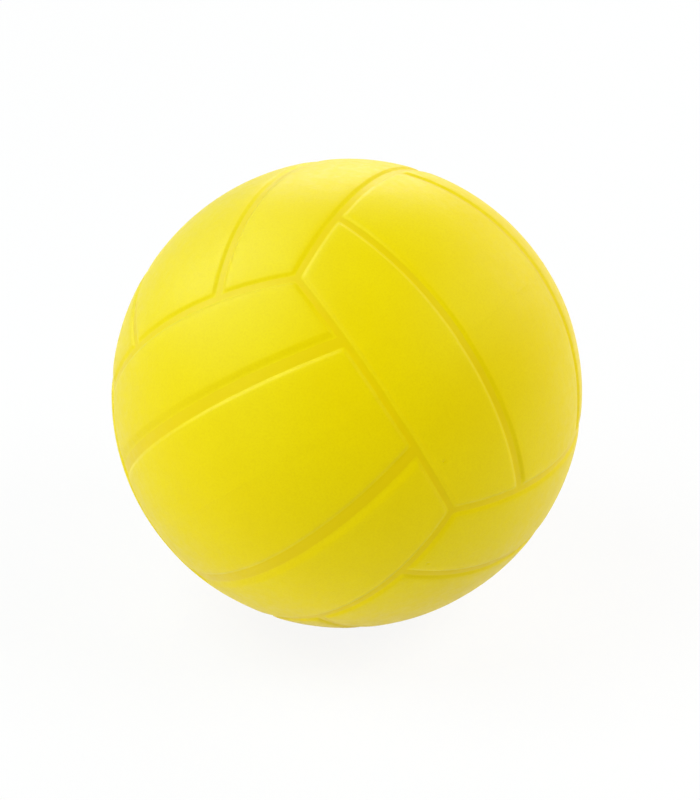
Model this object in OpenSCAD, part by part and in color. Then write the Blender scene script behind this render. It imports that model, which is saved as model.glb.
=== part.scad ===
// Foam volleyball: a light foam ball moulded in two halves, with eighteen raised panels on a dense skin.
// The moulding axis is the middle of the top and bottom faces, and the mould parts square to it.

/* [Ball] */
// Diameter over the panels
ball_d = 210; // [150:1:240]
// Tip of the moulding axis from upright, as the ball lies
mould_tip = 40; // [0:1:90]
// Thickness of the dense skin under the groove floors
skin_t = 1.5; // [0.8:0.1:4]
// Clearance between one layer and the next
layer_gap = 0.2; // [0:0.05:0.4]

/* [Panels] */
// Angle from the middle of a face to the middle of the groove beside its middle panel
strip_angle = 20.5; // [17:0.1:24]
// Width of the sloping shoulder along the edges of a panel
shoulder_w = 3.5; // [1:0.1:6]
// Drop of the shoulder from the ball's surface to the top of the wall
shoulder_drop = 0.5; // [0.2:0.05:0.8]

/* [Grooves] */
// Depth of the grooves below the panels
groove_depth = 1; // [0.8:0.1:2.5]
// Width of a groove at its floor
groove_w = 3.6; // [2:0.1:5]
// Extra width of the level grooves' floors, on the side away from the parting line
level_extra = 2; // [0:0.1:4]
// Angle by which the sloped walls of the level grooves clear the mould as it opens
release_angle = 6; // [1:0.5:14]

/* [Hidden] */
$fn = 180;
ball_r = ball_d / 2;
// Radii from the outside in: the panels' seats, the groove floors, the skin's inside and the foam core
floor_r = ball_r - groove_depth;
seat_r = floor_r + layer_gap;
skin_r = floor_r - skin_t;
core_r = skin_r - layer_gap;
// Distance from a groove's middle plane to the foot of its walls
wall_h = groove_w / 2;
// Angle from the middle of a face to its edge with the next face
edge_angle = 45;
// Run of a sloped wall, which leans back until it clears the mould
slope_run = groove_depth / tan(strip_angle - release_angle);
// Share of a panel's thickness that its shoulder may take, so that a straight wall is left under it
shoulder_limit = 0.7;
edge_drop = min(shoulder_drop, shoulder_limit * (ball_r - seat_r));

PANEL_YELLOW = [0.89, 0.80, 0.02];
GROOVE_YELLOW = [0.84, 0.72, 0.02];
FOAM_YELLOW = [0.95, 0.89, 0.55];

// Faces in pairs along the three axes: X, Y and Z of the mould
FACES = [["front", "back"], ["right", "left"], ["top", "bottom"]];
// Strips of each pair of faces, from the low side to the high side
STRIPS = [["lower", "middle", "upper"], ["rear", "middle", "front"], ["left", "middle", "right"]];

function panel_name(axis, end, strip) = str("panel_", FACES[axis][end], "_", STRIPS[axis][strip]);

// Distance from a groove's axis to a sphere, at a height above the groove's middle plane
function sphere_x(r, h) = sqrt(r * r - h * h);

// Section of all that lies on the panel's side of a steep wall, with its sloping shoulder
module steep_section() {
    top_h = wall_h + shoulder_w;
    wall_top = [sphere_x(ball_r, wall_h) - edge_drop, wall_h];
    top = [sphere_x(ball_r, top_h), top_h];
    past_top = 2 * top - wall_top;
    polygon([[0, wall_h], wall_top, past_top, [past_top.x, ball_r], [0, ball_r]]);
}

// Section of all that lies on the panel's side of a sloped wall
module sloped_section() {
    foot_h = wall_h + level_extra;
    top_h = foot_h + slope_run;
    foot = [sphere_x(floor_r, foot_h), foot_h];
    top = [sphere_x(ball_r, top_h), top_h];
    rise = top - foot;
    under_foot = foot - rise;
    past_top = top + rise;
    polygon([[0, under_foot.y], under_foot, past_top, [past_top.x, ball_r], [0, ball_r]]);
}

// All that lies on the panel's side of one groove, whose axis leans from +Z towards the given azimuth
module panel_side(lean, azimuth = 0, sloped = false) {
    rotate([0, lean, azimuth])
        rotate_extrude() {
            if (sloped) sloped_section();
            else steep_section();
        }
}

// The two long sides of a strip on the front face: strip 0 is the lower one and strip 2 the upper one
module long_sides(strip, sloped) {
    if (strip == 1) {
        intersection() {
            panel_side(strip_angle);
            panel_side(180 - strip_angle);
        }
    } else {
        mirror([0, 0, strip == 0 ? 1 : 0])
            intersection() {
                panel_side(-strip_angle, 0, sloped);
                panel_side(90 + edge_angle);
            }
    }
}

// A panel of the front face, from its seat on the skin to the ball's surface
module front_panel(strip, sloped) {
    difference() {
        intersection() {
            sphere(ball_r);
            long_sides(strip, sloped);
            panel_side(90, edge_angle);
            panel_side(90, -edge_angle);
        }
        sphere(seat_r);
    }
}

// Tips the ball from its moulding axes to the way that it lies, with its front face towards -Y
module as_it_lies() {
    rotate([mould_tip, 0, -90]) children();
}

module foam_core() {
    color(FOAM_YELLOW) as_it_lies() sphere(core_r);
}

module base_skin() {
    color(GROOVE_YELLOW)
        as_it_lies()
            difference() {
                sphere(floor_r);
                sphere(skin_r);
            }
}

// A panel turned from the front face to its own: a third of a turn about the corner steps to the next axis.
// The level grooves, on the faces along X, have a sloped wall on the side away from the parting line.
module panel(axis, end, strip) {
    color(PANEL_YELLOW)
        as_it_lies()
            rotate(120 * axis, [1, 1, 1])
                rotate(180 * end, [0, 0, 1])
                    front_panel(strip, axis == 0);
}

foam_core();
base_skin();
for (axis = [0:2], end = [0:1], strip = [0:2])
    panel(axis, end, strip);
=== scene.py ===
# %% [markdown]
# # A foam volleyball
# This is the light yellow ball that beginners learn with. It has no bladder and no sewn cover: foam rises in
# a mould of two halves, and where it meets the mould it sets as a smooth, dense skin.
#
# The measured solids of the ball are loaded first, as a frame that stays as it is. All that is made below
# lies in that frame, in metres, so nothing has to be fitted by eye. Three radii are read off the solids: the
# outside of the ball, the floors of its grooves and the foam under the skin.

# %% Load the frame and read the ball's radii
import math
import random

import bmesh
import bpy
import numpy as np
from mathutils import Matrix, Vector, noise


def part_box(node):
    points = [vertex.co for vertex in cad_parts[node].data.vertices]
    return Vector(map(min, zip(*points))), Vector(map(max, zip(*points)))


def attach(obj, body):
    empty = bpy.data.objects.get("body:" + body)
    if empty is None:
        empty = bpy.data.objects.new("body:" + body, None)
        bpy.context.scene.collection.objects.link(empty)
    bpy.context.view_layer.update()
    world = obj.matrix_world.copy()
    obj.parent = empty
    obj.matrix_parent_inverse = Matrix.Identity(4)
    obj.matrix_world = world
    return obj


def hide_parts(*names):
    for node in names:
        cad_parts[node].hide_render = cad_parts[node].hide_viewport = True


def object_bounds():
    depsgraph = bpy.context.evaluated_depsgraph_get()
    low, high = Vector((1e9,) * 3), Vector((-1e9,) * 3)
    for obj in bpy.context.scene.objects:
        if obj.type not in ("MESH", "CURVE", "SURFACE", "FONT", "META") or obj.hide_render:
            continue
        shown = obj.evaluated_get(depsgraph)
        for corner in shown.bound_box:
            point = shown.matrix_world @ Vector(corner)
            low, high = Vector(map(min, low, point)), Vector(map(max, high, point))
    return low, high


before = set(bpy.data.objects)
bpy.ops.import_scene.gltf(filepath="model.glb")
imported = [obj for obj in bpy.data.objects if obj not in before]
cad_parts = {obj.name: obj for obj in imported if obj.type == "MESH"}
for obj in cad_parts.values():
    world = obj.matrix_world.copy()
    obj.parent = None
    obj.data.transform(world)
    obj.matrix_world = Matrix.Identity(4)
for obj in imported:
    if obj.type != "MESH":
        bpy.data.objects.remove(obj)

MM = 0.001


def radius_of(box):
    """Half the width of a round thing, from its two corners."""
    return (box[1].y - box[0].y) / 2


cad_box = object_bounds()
ball_r = radius_of(cad_box)
floor_r = radius_of(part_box("base_skin"))
core_r = radius_of(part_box("foam_core"))
groove_depth = ball_r - floor_r
print(f"ball {2 * ball_r / MM:.1f} mm across, grooves {groove_depth / MM:.2f} mm deep")

# %% [markdown]
# ## The mould's own axes
# The mould opens along one axis of the ball, and its halves meet on the plane square to that axis, the
# parting plane. The ball in the photo lies with the axis tipped to the left. Every shape is simple in the
# mould's axes and awkward in the tipped ones, so the shapes are worked out in the first and turned into the
# second at the very end, by one small matrix.

# %% From the mould's axes to the way the ball lies
MOULD_TIP = math.radians(40)

mould_axes = np.array([
    [0, -1, 0],
    [math.cos(MOULD_TIP), 0, math.sin(MOULD_TIP)],
    [-math.sin(MOULD_TIP), 0, math.cos(MOULD_TIP)],
])


def as_it_lies(points):
    """Points in the mould's axes, turned to the way the ball lies in the frame."""
    return points @ mould_axes


print("the mould opens along", np.round(mould_axes[2], 3))

# %% [markdown]
# ## The camera
# A camera could be moved by hand until the picture looks right. A ball gives a surer way: its outline is a
# circle, so the circle's size in the photo ties the focal length to the distance, and the grooves give the
# direction. The lens is long, because the grooves show hardly any perspective. The ball sits a few pixels
# off the middle of the photo, so the camera is moved sideways by that much and needs no lens shift.

# %% Set the camera where the photo was taken
PHOTO_W, PHOTO_H = 700, 800
BALL_AT_PX = (346.8, 393.3)
BALL_RADIUS_PX = 236.1
CAMERA_AZIMUTH = math.radians(28.3)
CAMERA_ELEVATION = math.radians(27.7)
CAMERA_ROLL = math.radians(0.67)
CAMERA_DISTANCE = 19.5 * ball_r
SENSOR_MM = 36


def direction_to(azimuth, elevation):
    """Unit vector from the ball towards a place. Azimuth 0 is the front, and positive is to the right."""
    level = math.cos(elevation)
    return Vector((math.sin(azimuth) * level, -math.cos(azimuth) * level, math.sin(elevation)))


toward = direction_to(CAMERA_AZIMUTH, CAMERA_ELEVATION)
right = Vector((0, 0, 1)).cross(toward).normalized()
right = Matrix.Rotation(CAMERA_ROLL, 3, toward) @ right
up = toward.cross(right)
focal_px = BALL_RADIUS_PX * math.sqrt((CAMERA_DISTANCE / ball_r) ** 2 - 1)
px = CAMERA_DISTANCE / focal_px
eye = toward * CAMERA_DISTANCE
eye += right * px * (PHOTO_W / 2 - BALL_AT_PX[0])
eye -= up * px * (PHOTO_H / 2 - BALL_AT_PX[1])

camera = bpy.data.objects.new("camera", bpy.data.cameras.new("camera"))
bpy.context.scene.collection.objects.link(camera)
camera.matrix_world = Matrix.Translation(eye) @ Matrix((right, up, toward)).transposed().to_4x4()
camera.data.sensor_width = SENSOR_MM
camera.data.lens = SENSOR_MM * focal_px / max(PHOTO_W, PHOTO_H)
bpy.context.scene.camera = camera
print(f"lens {camera.data.lens:.0f} mm, {CAMERA_DISTANCE:.2f} m away, {px / MM:.3f} mm of ball to a pixel")

# %% [markdown]
# ## A groove in section
# The panels stand up from the ball's skin by no more than a millimetre, and the light on their edges is
# most of what the photo shows. A bevel would give each edge one even round. Moulded foam does two things at
# once: a low wall stands at the groove, and the panel behind it falls away over several millimetres, so an
# edge shows as a veil of light or shade that ends in a thin line. The wall is an S-curve, the fall a
# parabola, and the two are simply added. Each side of a panel is then a short list of points: how far from
# the groove's middle, and how deep below the ball's surface. The first point is tucked under the skin, so
# that no gap can show, and at so gentle a slope that no crease shows either.

# %% The steep side of a panel
WALL_FOOT = 1.45 * MM
WALL_RUN = 2.1 * MM
SHOULDER_DROP, SHOULDER_W = 0.42 * MM, 5.0 * MM
TUCK, TUCK_RUN = 0.06 * MM, 0.7 * MM
SIDE_STEPS = 14
SIDE_CROWDING = 1.3


def smooth(share):
    """An S-curve from 0 to 1."""
    share = min(max(share, 0), 1)
    return share * share * (3 - 2 * share)


def steep_side():
    """Points (from the groove's middle, below the surface) up a steep side, from its foot to the top."""
    points = [(WALL_FOOT - TUCK_RUN, groove_depth + TUCK)]
    for k in range(SIDE_STEPS + 1):
        out = SHOULDER_W * (k / SIDE_STEPS) ** SIDE_CROWDING
        wall = (groove_depth - SHOULDER_DROP) * (1 - smooth(out / WALL_RUN))
        points.append((WALL_FOOT + out, wall + SHOULDER_DROP * (1 - out / SHOULDER_W) ** 2))
    return points


print("a steep side has", len(steep_side()), "points, the last", f"{steep_side()[-1][0] / MM:.1f} mm out")

# %% [markdown]
# ## The side that lets the mould open
# The grooves that run level round the ball lie across the way the mould pulls off. A steep wall there would
# tear the foam, so the wall on the side of the pole leans far back. In the photo it is the broad shaded band
# above the front panel. Even at its steepest it stays under the angle of the groove from the parting
# plane, or the mould couldn't let go, and an S-curve is half as steep again in its middle as it is on the
# whole. That gives the least run that it can have.

# %% The sloped side of a panel
STRIP_ANGLE = math.radians(20.5)
RELEASE_ANGLE = math.radians(1)
LEVEL_FOOT = 3.5 * MM
SLOPE_STEPS = 14
EASE_OUT = (0.8 * MM, 2.0 * MM)
S_CURVE_STEEPNESS = 1.5

level_run = S_CURVE_STEEPNESS * groove_depth / math.tan(STRIP_ANGLE - RELEASE_ANGLE)


def sloped_side():
    """Points up a sloped wall, as steep_side gives them for a steep one."""
    points = [(LEVEL_FOOT - TUCK_RUN, groove_depth + TUCK)]
    for k in range(SLOPE_STEPS + 1):
        share = k / SLOPE_STEPS
        points.append((LEVEL_FOOT + level_run * share, groove_depth * (1 - smooth(share))))
    points += [(LEVEL_FOOT + level_run + further, 0) for further in EASE_OUT]
    return points


print(f"the slope rises over {level_run / MM:.1f} mm")

# %% [markdown]
# ## Lines across a panel
# Every groove follows a great circle. A panel could be cut from a sphere with booleans, but they leave
# ragged faces along just the edges that show. Here each panel is a net of two families of lines instead. A
# line is a plane through the ball: the angle of the groove it belongs to, and its distance from the groove's
# middle. Near a side the lines keep the groove's own angle and follow the section's points. Between the two
# sides angle and distance change evenly from one to the other.

# %% One family of lines
NET = 3.2 * MM
PARTING_LINES = (0.22 * MM, 0.6 * MM)


def family(low_angle, low_side, high_angle, high_side, parted=False):
    """Rows of (angle, offset as a share of the radius, depth), from a panel's low side to its high one."""
    low = [(low_angle, at / ball_r, deep) for at, deep in low_side]
    high = [(high_angle, -at / ball_r, deep) for at, deep in reversed(high_side)]
    (angle_0, offset_0, _), (angle_1, offset_1, _) = low[-1], high[0]
    width = (angle_1 + offset_1 - angle_0 - offset_0) * ball_r
    pairs = round(width / NET / 2)
    shares = [k / (2 * pairs) for k in range(1, 2 * pairs)]
    between = [(angle_0 + (angle_1 - angle_0) * s, offset_0 + (offset_1 - offset_0) * s, 0) for s in shares]
    if parted:
        between += [(0, sign * at / ball_r, 0) for at in PARTING_LINES for sign in (-1, 1)]
        between.sort(key=lambda line: line[0] + line[1])
    return np.array(low + between + high)


EDGE_ANGLE = math.radians(45)
ends = family(-EDGE_ANGLE, steep_side(), EDGE_ANGLE, steep_side())
print("along a panel there are", len(ends), "lines")

# %% [markdown]
# ## Where two lines cross
# A point of the net lies on one line of each family and on the ball. With the face's middle straight ahead,
# each line fixes one sideways part of the direction once the part straight ahead is known, and the sphere
# gives a quadratic for that part. Solving it for all crossings at once in numpy is exact and takes no time.

# %% Directions of all crossings of a net
def crossings(across, along):
    """Unit directions (ahead, across, along) where each line of one family meets each line of the other."""
    tan_a = np.tan(across[:, 0])[:, None]
    tan_b = np.tan(along[:, 0])[None, :]
    off_a = (across[:, 1] / np.cos(across[:, 0]))[:, None]
    off_b = (along[:, 1] / np.cos(along[:, 0]))[None, :]
    a = 1 + tan_a**2 + tan_b**2
    b = off_a * tan_a + off_b * tan_b
    c = off_a**2 + off_b**2 - 1
    ahead = (np.sqrt(b * b - a * c) - b) / a
    return np.stack([ahead, off_a + ahead * tan_a, off_b + ahead * tan_b], axis=-1)


print("a test net has", crossings(ends, ends).shape[:2], "crossings")

# %% [markdown]
# ## What the mould does to the ball
# The halves of the mould aren't quite in line. One is turned by a tenth of a degree, so every groove that
# crosses the parting plane has a nick there. Foam creeps into the joint and leaves a hair-thin ridge.
# It also shrinks as it cools: the ball in the photo is a little flatter along the mould's axis, and its skin
# waves by a tenth of a millimetre. These are shapes that catch the light, so they go into the mesh. Noise
# from mathutils is the same on every run.

# %% Mismatch, flash and shrinkage
MISMATCH = math.radians(0.12)
FLASH_H, FLASH_W = 0.09 * MM, 0.5 * MM
SQUAT = 0.75 * MM
WAVE_H, WAVE_SIZE = 0.22 * MM, 26 * MM
FLASH_SIZE, FLASH_MEAN, FLASH_SWING = 30 * MM, 0.6, 1.2


def wander(directions, size):
    """Smooth noise from about -1 to 1 over the ball, with features of the given size."""
    flat = (directions * (ball_r / size)).reshape(-1, 3)
    values = np.array([noise.noise(Vector(point)) for point in flat])
    return values.reshape(directions.shape[:-1])


def mismatched(directions):
    """Directions with the upper half of the mould turned a little against the lower one."""
    turn = MISMATCH / 2 * np.clip(directions[..., 2] * ball_r / PARTING_LINES[0], -1, 1)
    x, y, z = np.moveaxis(directions, -1, 0)
    return np.stack([x * np.cos(turn) - y * np.sin(turn), x * np.sin(turn) + y * np.cos(turn), z], axis=-1)


def unevenness(directions):
    """How far the moulded surface lies outside the true sphere."""
    from_parting = np.abs(directions[..., 2]) * ball_r
    flash = FLASH_H * np.clip(1 - from_parting / FLASH_W, 0, 1)
    flash *= np.clip(FLASH_MEAN + FLASH_SWING * wander(directions, FLASH_SIZE), 0, 1)
    shrunk = SQUAT * directions[..., 2] ** 2
    waves = WAVE_H * (0.5 - 0.5 * wander(directions, WAVE_SIZE))
    return flash - shrunk - waves


print(f"the step at the parting plane is {MISMATCH * ball_r / MM:.2f} mm")

# %% [markdown]
# ## A closed panel
# A sheet with no thickness would look the same, but it couldn't be printed, cut or counted as a piece. So a
# panel gets a second net under the first, just inside the skin, and a wall that joins their rims. Depths of
# the two families are joined as two see-through films are: one at full depth wins, and where both are
# part-way, at a corner, the shoulder rounds off softly.

# %% From a net to a closed mesh
UNDERSIDE = 0.4 * MM


def depths(across, along):
    """Depth below the ball's surface at each crossing."""
    film_a = np.clip(1 - across[:, 2] / groove_depth, 0, 1)[:, None]
    film_b = np.clip(1 - along[:, 2] / groove_depth, 0, 1)[None, :]
    deep = groove_depth * (1 - film_a * film_b)
    tucked = np.maximum(across[:, 2][:, None], along[:, 2][None, :]) > groove_depth
    return np.where(tucked, groove_depth + TUCK, deep)


def net_faces(rows, columns):
    """Corners of the four-sided faces of a net, in the order that faces outward."""
    at = np.arange(rows * columns).reshape(rows, columns)
    corners = (at[:-1, :-1], at[:-1, 1:], at[1:, 1:], at[1:, :-1])
    return np.stack(corners, axis=-1).reshape(-1, 4), at


def closed_faces(rows, columns):
    """Faces of an upper net, a lower net turned over, and the wall round their rims."""
    upper, at = net_faces(rows, columns)
    rim = np.concatenate([at[0, :-1], at[:-1, -1], at[-1, :0:-1], at[:0:-1, 0]])
    after = np.roll(rim, -1)
    below = rows * columns
    wall = np.stack([after, rim, rim + below, after + below], axis=-1)
    return np.concatenate([upper, upper[:, ::-1] + below, wall])


def mesh_piece(name, points, faces):
    """A smooth-shaded object from points in the mould's axes."""
    mesh = bpy.data.meshes.new(name)
    mesh.from_pydata(as_it_lies(points).tolist(), [], faces.tolist())
    mesh.shade_smooth()
    piece = bpy.data.objects.new(name, mesh)
    bpy.context.scene.collection.objects.link(piece)
    return piece


print("a net of 4 by 3 closes with", len(closed_faces(4, 3)), "faces")

# %% [markdown]
# ## Eighteen panels on six faces
# A volleyball is a cube drawn on a ball: six faces of three strips, each face turned a quarter against its
# neighbours. Turning the cube by a third about its corner carries every face to the next one in that very
# pattern, so one panel of each kind and two turns make all eighteen. Only the faces at the front and back
# have the sloped sides, and only panels that cross the parting plane need the extra lines there.

# %% Nets of all the panels
FACES = (("front", "back"), ("right", "left"), ("top", "bottom"))
STRIPS = (("lower", "middle", "upper"), ("rear", "middle", "front"), ("left", "middle", "right"))
STRIP_EDGES = (-EDGE_ANGLE, -STRIP_ANGLE, STRIP_ANGLE, EDGE_ANGLE)


def face_axes(axis, end):
    """Rows: straight ahead, across the strips and along them, for one face, in the mould's axes."""
    half_turn = -1 if end else 1
    first = np.array([[half_turn, 0, 0], [0, 0, 1], [0, half_turn, 0]])
    return np.roll(first, axis, axis=1)


def panel_net(axis, strip):
    """The two families of lines of one panel."""
    sides = [steep_side(), steep_side()]
    level = axis == 0
    if level and strip != 1:
        sides[0 if strip == 2 else 1] = sloped_side()
    low, high = STRIP_EDGES[strip:strip + 2]
    across = family(low, sides[0], high, sides[1], parted=level and strip == 1)
    along = family(-EDGE_ANGLE, steep_side(), EDGE_ANGLE, steep_side(), parted=axis == 1)
    return across, along


def panel_points(axis, end, strip):
    """Points of a panel's upper and lower nets in the mould's axes, and the size of one net."""
    across, along = panel_net(axis, strip)
    directions = mismatched(crossings(across, along) @ face_axes(axis, end))
    uneven = unevenness(directions)
    outer = ball_r - depths(across, along) + uneven
    inner = floor_r - UNDERSIDE + uneven
    nets = [(directions * radius[..., None]).reshape(-1, 3) for radius in (outer, inner)]
    return np.concatenate(nets), directions.shape[:2]


panels = {}
for axis, pair in enumerate(FACES):
    for end, face in enumerate(pair):
        for strip, place in enumerate(STRIPS[axis]):
            points, size = panel_points(axis, end, strip)
            piece = mesh_piece(f"moulded_{face}_{place}", points, closed_faces(*size))
            panels[f"panel_{face}_{place}"] = piece
print(len(panels), "panels,", sum(len(piece.data.polygons) for piece in panels.values()), "faces")

# %% [markdown]
# ## Pits in the skin
# Here and there a bubble has burst against the mould and left a pit smaller than a pinhead. The photo shows
# a few, and the side that it doesn't show surely has more. A pit is a real hollow, so it is cut into the
# mesh: the face it falls in is replaced by a ring for its lip, smaller rings inside and a point at the
# bottom. The ones in the photo are placed by their pixels, along the camera's rays, and a seeded draw
# spreads the others over the unseen side.

# %% Where the pits are
PITS_PX = ((441.5, 465), (353.5, 611.5), (553.5, 475), (561, 459), (426, 565))
MORE_PITS = 50
PIT_R = (0.18 * MM, 0.36 * MM)
UNSEEN = 0.1
PIT_SEED = 18

draw = random.Random(PIT_SEED)


def under_pixel(x, y):
    """Direction from the ball's middle to the point of its surface that shows at a pixel of the photo."""
    ray = right * (x - PHOTO_W / 2) + up * (PHOTO_H / 2 - y) - toward * focal_px
    ray.normalize()
    along_ray = -eye.dot(ray)
    nearest = (eye + ray * along_ray).length
    hit = eye + ray * (along_ray - math.sqrt(ball_r**2 - nearest**2))
    return hit.normalized()


def any_direction():
    """A direction drawn evenly over the ball."""
    z = draw.uniform(-1, 1)
    turn = draw.uniform(0, math.tau)
    return Vector((math.cos(turn) * math.sqrt(1 - z * z), math.sin(turn) * math.sqrt(1 - z * z), z))


pits = [(under_pixel(*at), PIT_R[1]) for at in PITS_PX]
drawn = [any_direction() for _ in range(MORE_PITS)]
unseen = [direction for direction in drawn if direction.dot(toward) < UNSEEN]
pits += [(direction, draw.uniform(*PIT_R)) for direction in unseen]
print(len(pits), "pits planned")

# %% Cut the pits into the panels
PIT_SIDES = 10
PIT_RINGS = ((1.0, 0.0), (0.8, 0.35), (0.45, 0.85))
LIP_ROOM = 1.3
OPEN_FACE, NEAR_FACE = 0.6 * NET, 0.8 * NET


def pit_ring(mesh, middle, east, north, radius, deep):
    """A ring of vertices sunk below the surface, round the pit's middle."""
    ring = []
    for k in range(PIT_SIDES):
        turn = math.tau * k / PIT_SIDES
        spot = middle + (east * math.cos(turn) + north * math.sin(turn)) * radius
        ring.append(mesh.verts.new(spot.normalized() * (spot.length - deep)))
    return ring


def lip_to_corners(mesh, ring, corners, middle, east, north):
    """Triangles from the pit's lip out to the corners of the face that it replaces."""
    def turn_of(vertex):
        return math.atan2((vertex.co - middle).dot(north), (vertex.co - middle).dot(east)) % math.tau

    around = sorted(corners, key=turn_of)
    turns = [turn_of(vertex) for vertex in around]

    def nearest_corner(k):
        half_way = math.tau * (k + 0.5) / PIT_SIDES
        gaps = [abs((half_way - turn + math.pi) % math.tau - math.pi) for turn in turns]
        return gaps.index(min(gaps))

    for k in range(PIT_SIDES):
        here, before = nearest_corner(k), nearest_corner(k - 1)
        mesh.faces.new((ring[k], around[here], ring[(k + 1) % PIT_SIDES]))
        if here != before:
            mesh.faces.new((ring[k], around[before], around[here]))


def sink_pit(mesh, face, direction, radius):
    """Replaces one face by a pit."""
    middle = face.calc_center_median()
    outward = middle.normalized()
    east = outward.orthogonal().normalized()
    north = outward.cross(east)
    reach = min((edge.verts[0].co + edge.verts[1].co - 2 * middle).length / 2 for edge in face.edges)
    wish = direction * middle.length - middle
    spare = max(reach - LIP_ROOM * radius, 0)
    if wish.length > spare:
        wish = wish.normalized() * spare
    middle = middle + wish
    corners = list(face.verts)
    mesh.faces.remove(face)
    rings = [pit_ring(mesh, middle, east, north, radius * out, radius * deep) for out, deep in PIT_RINGS]
    lip_to_corners(mesh, rings[0], corners, middle, east, north)
    for outer, inner in zip(rings, rings[1:]):
        for k in range(PIT_SIDES):
            after = (k + 1) % PIT_SIDES
            mesh.faces.new((outer[k], outer[after], inner[after], inner[k]))
    bottom = mesh.verts.new(outward * (middle.length - radius))
    for k in range(PIT_SIDES):
        mesh.faces.new((rings[-1][k], rings[-1][(k + 1) % PIT_SIDES], bottom))


def on_top(face):
    """True for a face of the open surface of a panel, clear of its shoulders and of the fine lines."""
    wide = min(edge.calc_length() for edge in face.edges) > OPEN_FACE
    high = min(vertex.co.length for vertex in face.verts) > ball_r - SQUAT - WAVE_H - FLASH_W
    return wide and high


sunk = 0
for piece in panels.values():
    mesh = bmesh.new()
    mesh.from_mesh(piece.data)
    tops = [face for face in mesh.faces if on_top(face)]
    middles = np.array([face.calc_center_median().normalized() for face in tops])
    taken = set()
    for direction, radius in pits:
        nearest = int(np.argmax(middles @ np.array(direction)))
        apart = (Vector(middles[nearest]) - direction).length * ball_r
        if apart < NEAR_FACE and nearest not in taken:
            taken.add(nearest)
            sink_pit(mesh, tops[nearest], direction, radius)
    for face in mesh.faces:
        face.smooth = True
    mesh.to_mesh(piece.data)
    mesh.free()
    sunk += len(taken)
print(sunk, "pits sunk")

# %% [markdown]
# ## The skin under the panels
# The floors of the grooves are one unbroken skin that runs under all the panels. A UV sphere would gather
# its faces at two poles. Six nets like those of the panels, with plain lines and no grooves, cover a ball
# evenly, and their edges fall in the grooves. They are welded along those edges. A second ball inside,
# turned over, makes the skin a shell of its real thickness.

# %% A ball of six nets
WELD = 0.01 * MM
SKIN_T = 1.5 * MM
SKIN_LINES = 65


def ball_net(lines):
    """Directions in the mould's axes and faces of a ball of six nets, each face with its own corners."""
    angles = np.linspace(-EDGE_ANGLE, EDGE_ANGLE, lines)
    plain = np.stack([angles, np.zeros(lines), np.zeros(lines)], axis=-1)
    faces, _ = net_faces(lines, lines)
    directions = [crossings(plain, plain) @ face_axes(axis, end) for axis in range(3) for end in range(2)]
    directions = np.array(directions).reshape(-1, 3)
    return directions, np.concatenate([faces + k * lines * lines for k in range(6)])


def weld(piece):
    """Joins vertices that lie on each other."""
    mesh = bmesh.new()
    mesh.from_mesh(piece.data)
    bmesh.ops.remove_doubles(mesh, verts=mesh.verts, dist=WELD)
    mesh.to_mesh(piece.data)
    mesh.free()


directions, faces = ball_net(SKIN_LINES)
uneven = unevenness(directions)[:, None]
shell = np.concatenate([directions * (floor_r + uneven), directions * (floor_r - SKIN_T + uneven)])
shell_faces = np.concatenate([faces, faces[:, ::-1] + len(directions)])
groove_skin = mesh_piece("moulded_groove_skin", shell, shell_faces)
weld(groove_skin)
print("the groove skin has", len(groove_skin.data.polygons), "faces")

# %% [markdown]
# ## The foam inside
# Under the skin the ball is open foam, full of cells. It doesn't show, but a cut ball would show it, so it
# is a piece of its own. Its surface is lumpy where the cells meet the skin: the distance to the nearest cell
# wall, from Voronoi noise, pushes each point in or out a little.

# %% The foam core
CELL_SIZE, CELL_DEPTH = 7 * MM, 0.5 * MM
CORE_LINES = 57

directions, faces = ball_net(CORE_LINES)
cell_edges = []
for direction in directions * (core_r / CELL_SIZE):
    near, far = noise.voronoi(Vector(direction))[0][:2]
    cell_edges.append(min(far - near, 1))
hollows = CELL_DEPTH * (1 - np.array(cell_edges))[:, None]
uneven = unevenness(directions)[:, None]
foam_core = mesh_piece("foam_inside", directions * (core_r - hollows + uneven), faces)
weld(foam_core)
print("the foam core has", len(foam_core.data.polygons), "faces")

# %% [markdown]
# ## Yellow foam skin
# The skin is a plain strong yellow with a satin gloss. A single colour would look like plastic. Real foam
# skin is faintly mottled, because it is denser here than there, and it has a grain as fine as the mould's
# blasted steel. Three sizes of noise give the mottle, the peel and the grain. The floors of the grooves are
# painted deeper and more orange in colour than the panels: painted shade, for the shade in the grooves.
#
# The gloss shows at a glancing angle, in the pale rim of the photo, and hardly at all straight on, where a
# white room would wash the yellow out. The shader's specular tint is for just that: it takes away the
# straight-on part and leaves the glancing one white.

# %% Nodes that both skins use
PANEL_YELLOW = (0.82, 0.64, 0.0005)
PANEL_PALE = (0.83, 0.66, 0.001)
# The groove colours are darker and more orange than the panel ones: painted shade on the grooves' floors.
GROOVE_SHADE_YELLOW = (0.785, 0.58, 0.0005)
GROOVE_SHADE_PALE = (0.795, 0.60, 0.0005)
GRAIN_YELLOW = (0.77, 0.58, 0.0005)
SKIN_ROUGHNESS = (0.40, 0.52)
SKIN_SHINE = 0.40
SKIN_SHINE_TINT = (0.12, 0.17, 0.05)
MOTTLE_SIZE, PEEL_SIZE, GRAIN_SIZE = 38 * MM, 3.5 * MM, 0.8 * MM
PEEL_H, GRAIN_H = 0.08 * MM, 0.055 * MM
MOTTLE_RANGE, PEEL_RANGE, GRAIN_RANGE = (0.35, 0.65), (0.3, 0.7), (0.3, 0.6)
SPECKLE = 0.5


def fresh_material(name):
    """A new material, its node tree and its Principled shader."""
    material = bpy.data.materials.new(name)
    material.use_nodes = True
    return material, material.node_tree, material.node_tree.nodes["Principled BSDF"]


def add_node(tree, kind, **settings):
    """A new node with some of its settings made."""
    node = tree.nodes.new(kind)
    for name, value in settings.items():
        setattr(node, name, value)
    return node


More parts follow.
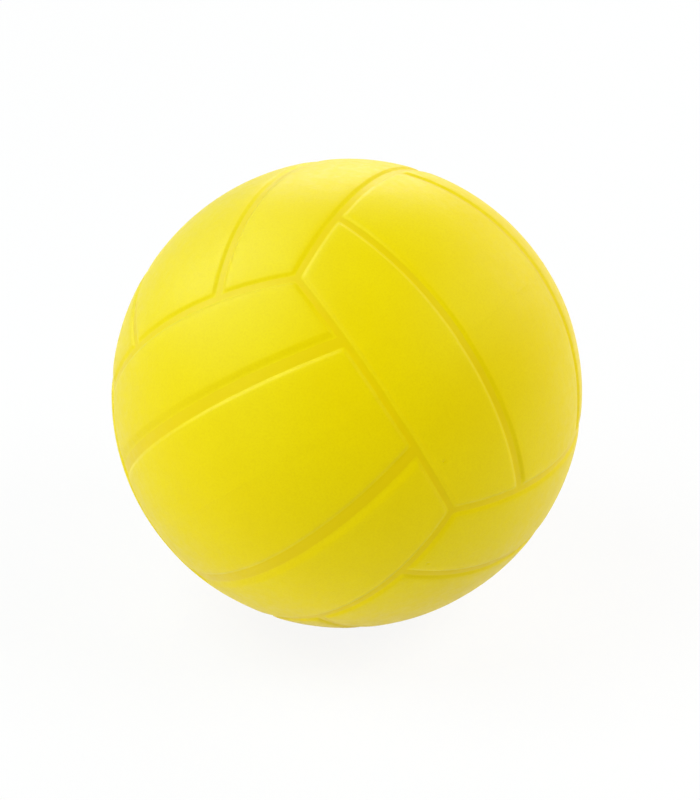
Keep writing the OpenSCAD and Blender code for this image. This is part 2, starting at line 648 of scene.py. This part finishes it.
def spots(tree, place, size, detail=2.0):
    """Noise over the ball with features of a real size."""
    node = add_node(tree, "ShaderNodeTexNoise")
    node.inputs["Scale"].default_value = 1 / size
    node.inputs["Detail"].default_value = detail
    tree.links.new(place, node.inputs["Vector"])
    return node.outputs["Fac"]


def ranged(tree, value, low, high, new_low=0.0, new_high=1.0):
    """A value moved from one range to another, and held within it."""
    node = add_node(tree, "ShaderNodeMapRange")
    for name, number in (("From Min", low), ("From Max", high), ("To Min", new_low), ("To Max", new_high)):
        node.inputs[name].default_value = number
    tree.links.new(value, node.inputs["Value"])
    return node.outputs["Result"]


def colour_between(tree, share, first, second):
    """A colour between two others. Either one may be a colour or an output of another node."""
    node = add_node(tree, "ShaderNodeMix", data_type="RGBA")
    tree.links.new(share, node.inputs["Factor"])
    for socket, colour in zip((node.inputs[6], node.inputs[7]), (first, second)):
        if isinstance(colour, tuple):
            socket.default_value = (*colour, 1)
        else:
            tree.links.new(colour, socket)
    return node.outputs[2]


def bumped(tree, height, distance, before=None):
    """A bump of a real height, on top of an earlier one."""
    node = add_node(tree, "ShaderNodeBump")
    node.inputs["Distance"].default_value = distance
    tree.links.new(height, node.inputs["Height"])
    if before is not None:
        tree.links.new(before, node.inputs["Normal"])
    return node.outputs["Normal"]


print("skin grain of", GRAIN_SIZE / MM, "mm")

# %% The skin of the panels and of the grooves
def foam_skin(name, yellow, pale):
    """Satin yellow skin of moulded foam, mottled between two colours."""
    material, tree, shader = fresh_material(name)
    place = add_node(tree, "ShaderNodeTexCoord").outputs["Object"]
    mottle = spots(tree, place, MOTTLE_SIZE, detail=4)
    peel = spots(tree, place, PEEL_SIZE)
    grain = spots(tree, place, GRAIN_SIZE)

    colour = colour_between(tree, ranged(tree, mottle, *MOTTLE_RANGE), yellow, pale)
    speckles = ranged(tree, grain, *GRAIN_RANGE, SPECKLE, 0)
    tree.links.new(colour_between(tree, speckles, colour, GRAIN_YELLOW), shader.inputs["Base Color"])

    tree.links.new(ranged(tree, peel, *PEEL_RANGE, *SKIN_ROUGHNESS), shader.inputs["Roughness"])
    shader.inputs["Specular IOR Level"].default_value = SKIN_SHINE
    shader.inputs["Specular Tint"].default_value = (*SKIN_SHINE_TINT, 1)
    tree.links.new(bumped(tree, grain, GRAIN_H, bumped(tree, peel, PEEL_H)), shader.inputs["Normal"])
    return material


panel_finish = foam_skin("panel_foam_skin", PANEL_YELLOW, PANEL_PALE)
# The groove skin gets the darker colours, which paint the grooves' shade into it.
groove_shaded_finish = foam_skin("groove_foam_skin_painted_shade", GROOVE_SHADE_YELLOW, GROOVE_SHADE_PALE)
print("two skin finishes of", len(panel_finish.node_tree.nodes), "nodes each")

# %% [markdown]
# ## Open foam
# The core is the same foam where it had room to rise: paler, without gloss, and full of cells. Voronoi cells
# give the pits of the bump, and the colour is painted darker in the pits, as painted shade, and paler on the
# cell walls.

# %% The finish of the core
FOAM_PALE = (0.90, 0.78, 0.26)
# The deep colour goes in the cells' pits: painted shade.
FOAM_PIT_SHADE = (0.72, 0.55, 0.08)
FINE_CELL = 1.8 * MM
CELL_BUMP = 0.5 * MM
CELL_WALL = 0.3
FOAM_MOTTLE_RANGE = (0.3, 0.7)
FOAM_ROUGHNESS = (0.8, 0.95)
FOAM_SHINE = 0.1


def open_foam(name):
    """Matt foam with cells."""
    material, tree, shader = fresh_material(name)
    place = add_node(tree, "ShaderNodeTexCoord").outputs["Object"]
    cells = add_node(tree, "ShaderNodeTexVoronoi", feature="DISTANCE_TO_EDGE")
    cells.inputs["Scale"].default_value = 1 / FINE_CELL
    tree.links.new(place, cells.inputs["Vector"])
    walls = ranged(tree, cells.outputs["Distance"], 0, CELL_WALL, 1, 0)
    # Colour follows the bump: the pits painted darker as painted shade, the walls pale.
    colour = colour_between(tree, walls, FOAM_PIT_SHADE, FOAM_PALE)
    tree.links.new(colour, shader.inputs["Base Color"])
    mottle = spots(tree, place, MOTTLE_SIZE)
    tree.links.new(ranged(tree, mottle, *FOAM_MOTTLE_RANGE, *FOAM_ROUGHNESS), shader.inputs["Roughness"])
    tree.links.new(bumped(tree, walls, CELL_BUMP), shader.inputs["Normal"])
    shader.inputs["Specular IOR Level"].default_value = FOAM_SHINE
    return material


core_finish = open_foam("open_cell_foam")
print("foam cells of", FINE_CELL / MM, "mm")

# %% [markdown]
# ## Joining the pieces to the frame
# Each piece stands for one solid of the frame, which is then hidden, and rides on the ball's one body.


def join(piece, node, finish):
    """Gives a piece its finish and puts it in the place of its solid."""
    piece.data.materials.append(finish)
    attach(piece, "root")
    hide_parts(node)


for node, piece in panels.items():
    join(piece, node, panel_finish)
join(groove_skin, "base_skin", groove_shaded_finish)
join(foam_core, "foam_core", core_finish)

# %% [markdown]
# ## The floor
# The photo is cut out on pure white. A floor that is lit until it is white would light the ball too much
# from below, so the floor is an ordinary pale surface, and only the camera sees part of it as white light.
# The part that stays a surface still takes the ball's soft shadow, so the ball stands on something.

# %% A pale floor
FLOOR_SIZE = 30.0
FLOOR_PALE = (0.90, 0.90, 0.89)
FLOOR_WHITENED = 0.90


def white_for_camera(tree, share):
    """A value that is share for what the camera sees, straight or in gloss and glass, and 0 elsewhere."""
    path = add_node(tree, "ShaderNodeLightPath")
    seen = path.outputs["Is Camera Ray"]
    for other in ("Is Glossy Ray", "Is Transmission Ray"):
        either = add_node(tree, "ShaderNodeMath", operation="MAXIMUM")
        tree.links.new(seen, either.inputs[0])
        tree.links.new(path.outputs[other], either.inputs[1])
        seen = either.outputs[0]
    return ranged(tree, seen, 0, 1, 0, share)


def floor_finish():
    """Pale matt floor, partly white to the camera."""
    material, tree, shader = fresh_material("pale_floor")
    shader.inputs["Base Color"].default_value = (*FLOOR_PALE, 1)
    shader.inputs["Roughness"].default_value = 1
    shader.inputs["Specular IOR Level"].default_value = 0
    white = add_node(tree, "ShaderNodeEmission")
    blend = add_node(tree, "ShaderNodeMixShader")
    tree.links.new(white_for_camera(tree, FLOOR_WHITENED), blend.inputs["Fac"])
    tree.links.new(shader.outputs["BSDF"], blend.inputs[1])
    tree.links.new(white.outputs["Emission"], blend.inputs[2])
    tree.links.new(blend.outputs["Shader"], tree.nodes["Material Output"].inputs["Surface"])
    return material


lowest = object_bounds()[0].z
half = FLOOR_SIZE / 2
corners = [(-half, -half, lowest), (half, -half, lowest), (half, half, lowest), (-half, half, lowest)]
floor_mesh = bpy.data.meshes.new("floor")
floor_mesh.from_pydata(corners, [], [(0, 1, 2, 3)])
floor_mesh.materials.append(floor_finish())
floor = bpy.data.objects.new("floor", floor_mesh)
bpy.context.scene.collection.objects.link(floor)
print(f"the floor lies {-lowest / MM:.2f} mm below the ball's middle")

# %% [markdown]
# ## Soft studio light
# The photo was taken the plain way: a softbox high on the left, one on the right, a weaker one low in
# front, and two behind that light the ball as a white wall does. The left one makes the light edges of the
# grooves, and the wall makes the pale rim along the top. Each light is given by its direction from the
# front, its size and its level, the share of full light that it gives a surface that faces it. Under a level
# of 1 a colour shows as it is written, and the wattage that gives a level follows from the distance. The
# left light is a touch cool and the surroundings are a touch warm, as daylight and a room are.
#
# A broad pale haze lies on the upper left of the ball, where its skin mirrors something wide and bright. A
# photographer would hold up a card there. This one is left out of the diffuse light, so it shows in the
# gloss alone and the yellow under it keeps its level.

# %% Softboxes and the white surroundings
DISTANCE = 1.8
COOL, PLAIN = (0.84, 1.0, 1.1), (1.0, 1.0, 1.0)
SOFTBOXES = (
    ("left_softbox", -48, 55, 1.2, 1.2, 0.61, COOL),
    ("low_softbox", -17, 8, 1.0, 1.0, 0.41, PLAIN),
    ("right_softbox", 106, 42, 1.0, 1.0, 0.53, PLAIN),
    ("rear_softbox", 150, 25, 1.0, 1.0, 0.21, PLAIN),
    ("wall_softbox", 208, 25, 1.0, 1.0, 0.29, PLAIN),
)
GLOSS_CARD = ("gloss_card", -66, 42, 2.4, 1.7, 2.3, COOL)
SURROUND_LEVEL = 0.135
SURROUND = (1.0, 0.95, 0.75)


def softbox(name, azimuth, elevation, width, height, level, colour):
    """A rectangular area light that faces the ball."""
    lamp = bpy.data.lights.new(name, "AREA")
    lamp.shape = "RECTANGLE"
    lamp.size, lamp.size_y = width, height
    lamp.energy = level * math.pi**2 * DISTANCE**2
    lamp.color = colour
    light = bpy.data.objects.new(name, lamp)
    bpy.context.scene.collection.objects.link(light)
    away = direction_to(math.radians(azimuth), math.radians(elevation))
    light.location = away * DISTANCE
    light.rotation_euler = away.to_track_quat("Z", "Y").to_euler()
    light.visible_camera = False
    return light


for settings in SOFTBOXES:
    softbox(*settings)
card = softbox(*GLOSS_CARD)
card.visible_diffuse = False

world = bpy.data.worlds.new("light_tent")
world.use_nodes = True
bpy.context.scene.world = world
tree = world.node_tree
tent = tree.nodes["Background"]
tent.inputs["Color"].default_value = (*SURROUND, 1)
tent.inputs["Strength"].default_value = SURROUND_LEVEL
white = add_node(tree, "ShaderNodeBackground")
white.inputs["Color"].default_value = (1, 1, 1, 1)
blend = add_node(tree, "ShaderNodeMixShader")
tree.links.new(white_for_camera(tree, 1.0), blend.inputs["Fac"])
tree.links.new(tent.outputs["Background"], blend.inputs[1])
tree.links.new(white.outputs["Background"], blend.inputs[2])
tree.links.new(blend.outputs["Shader"], tree.nodes["World Output"].inputs["Surface"])
print(len(SOFTBOXES), "softboxes, a gloss card and a tent at", SURROUND_LEVEL)

# %% [markdown]
# ## Colours as they are
# The Standard view shows a colour as it is written, without a film curve.

# %% View
bpy.context.scene.view_settings.view_transform = "Standard"
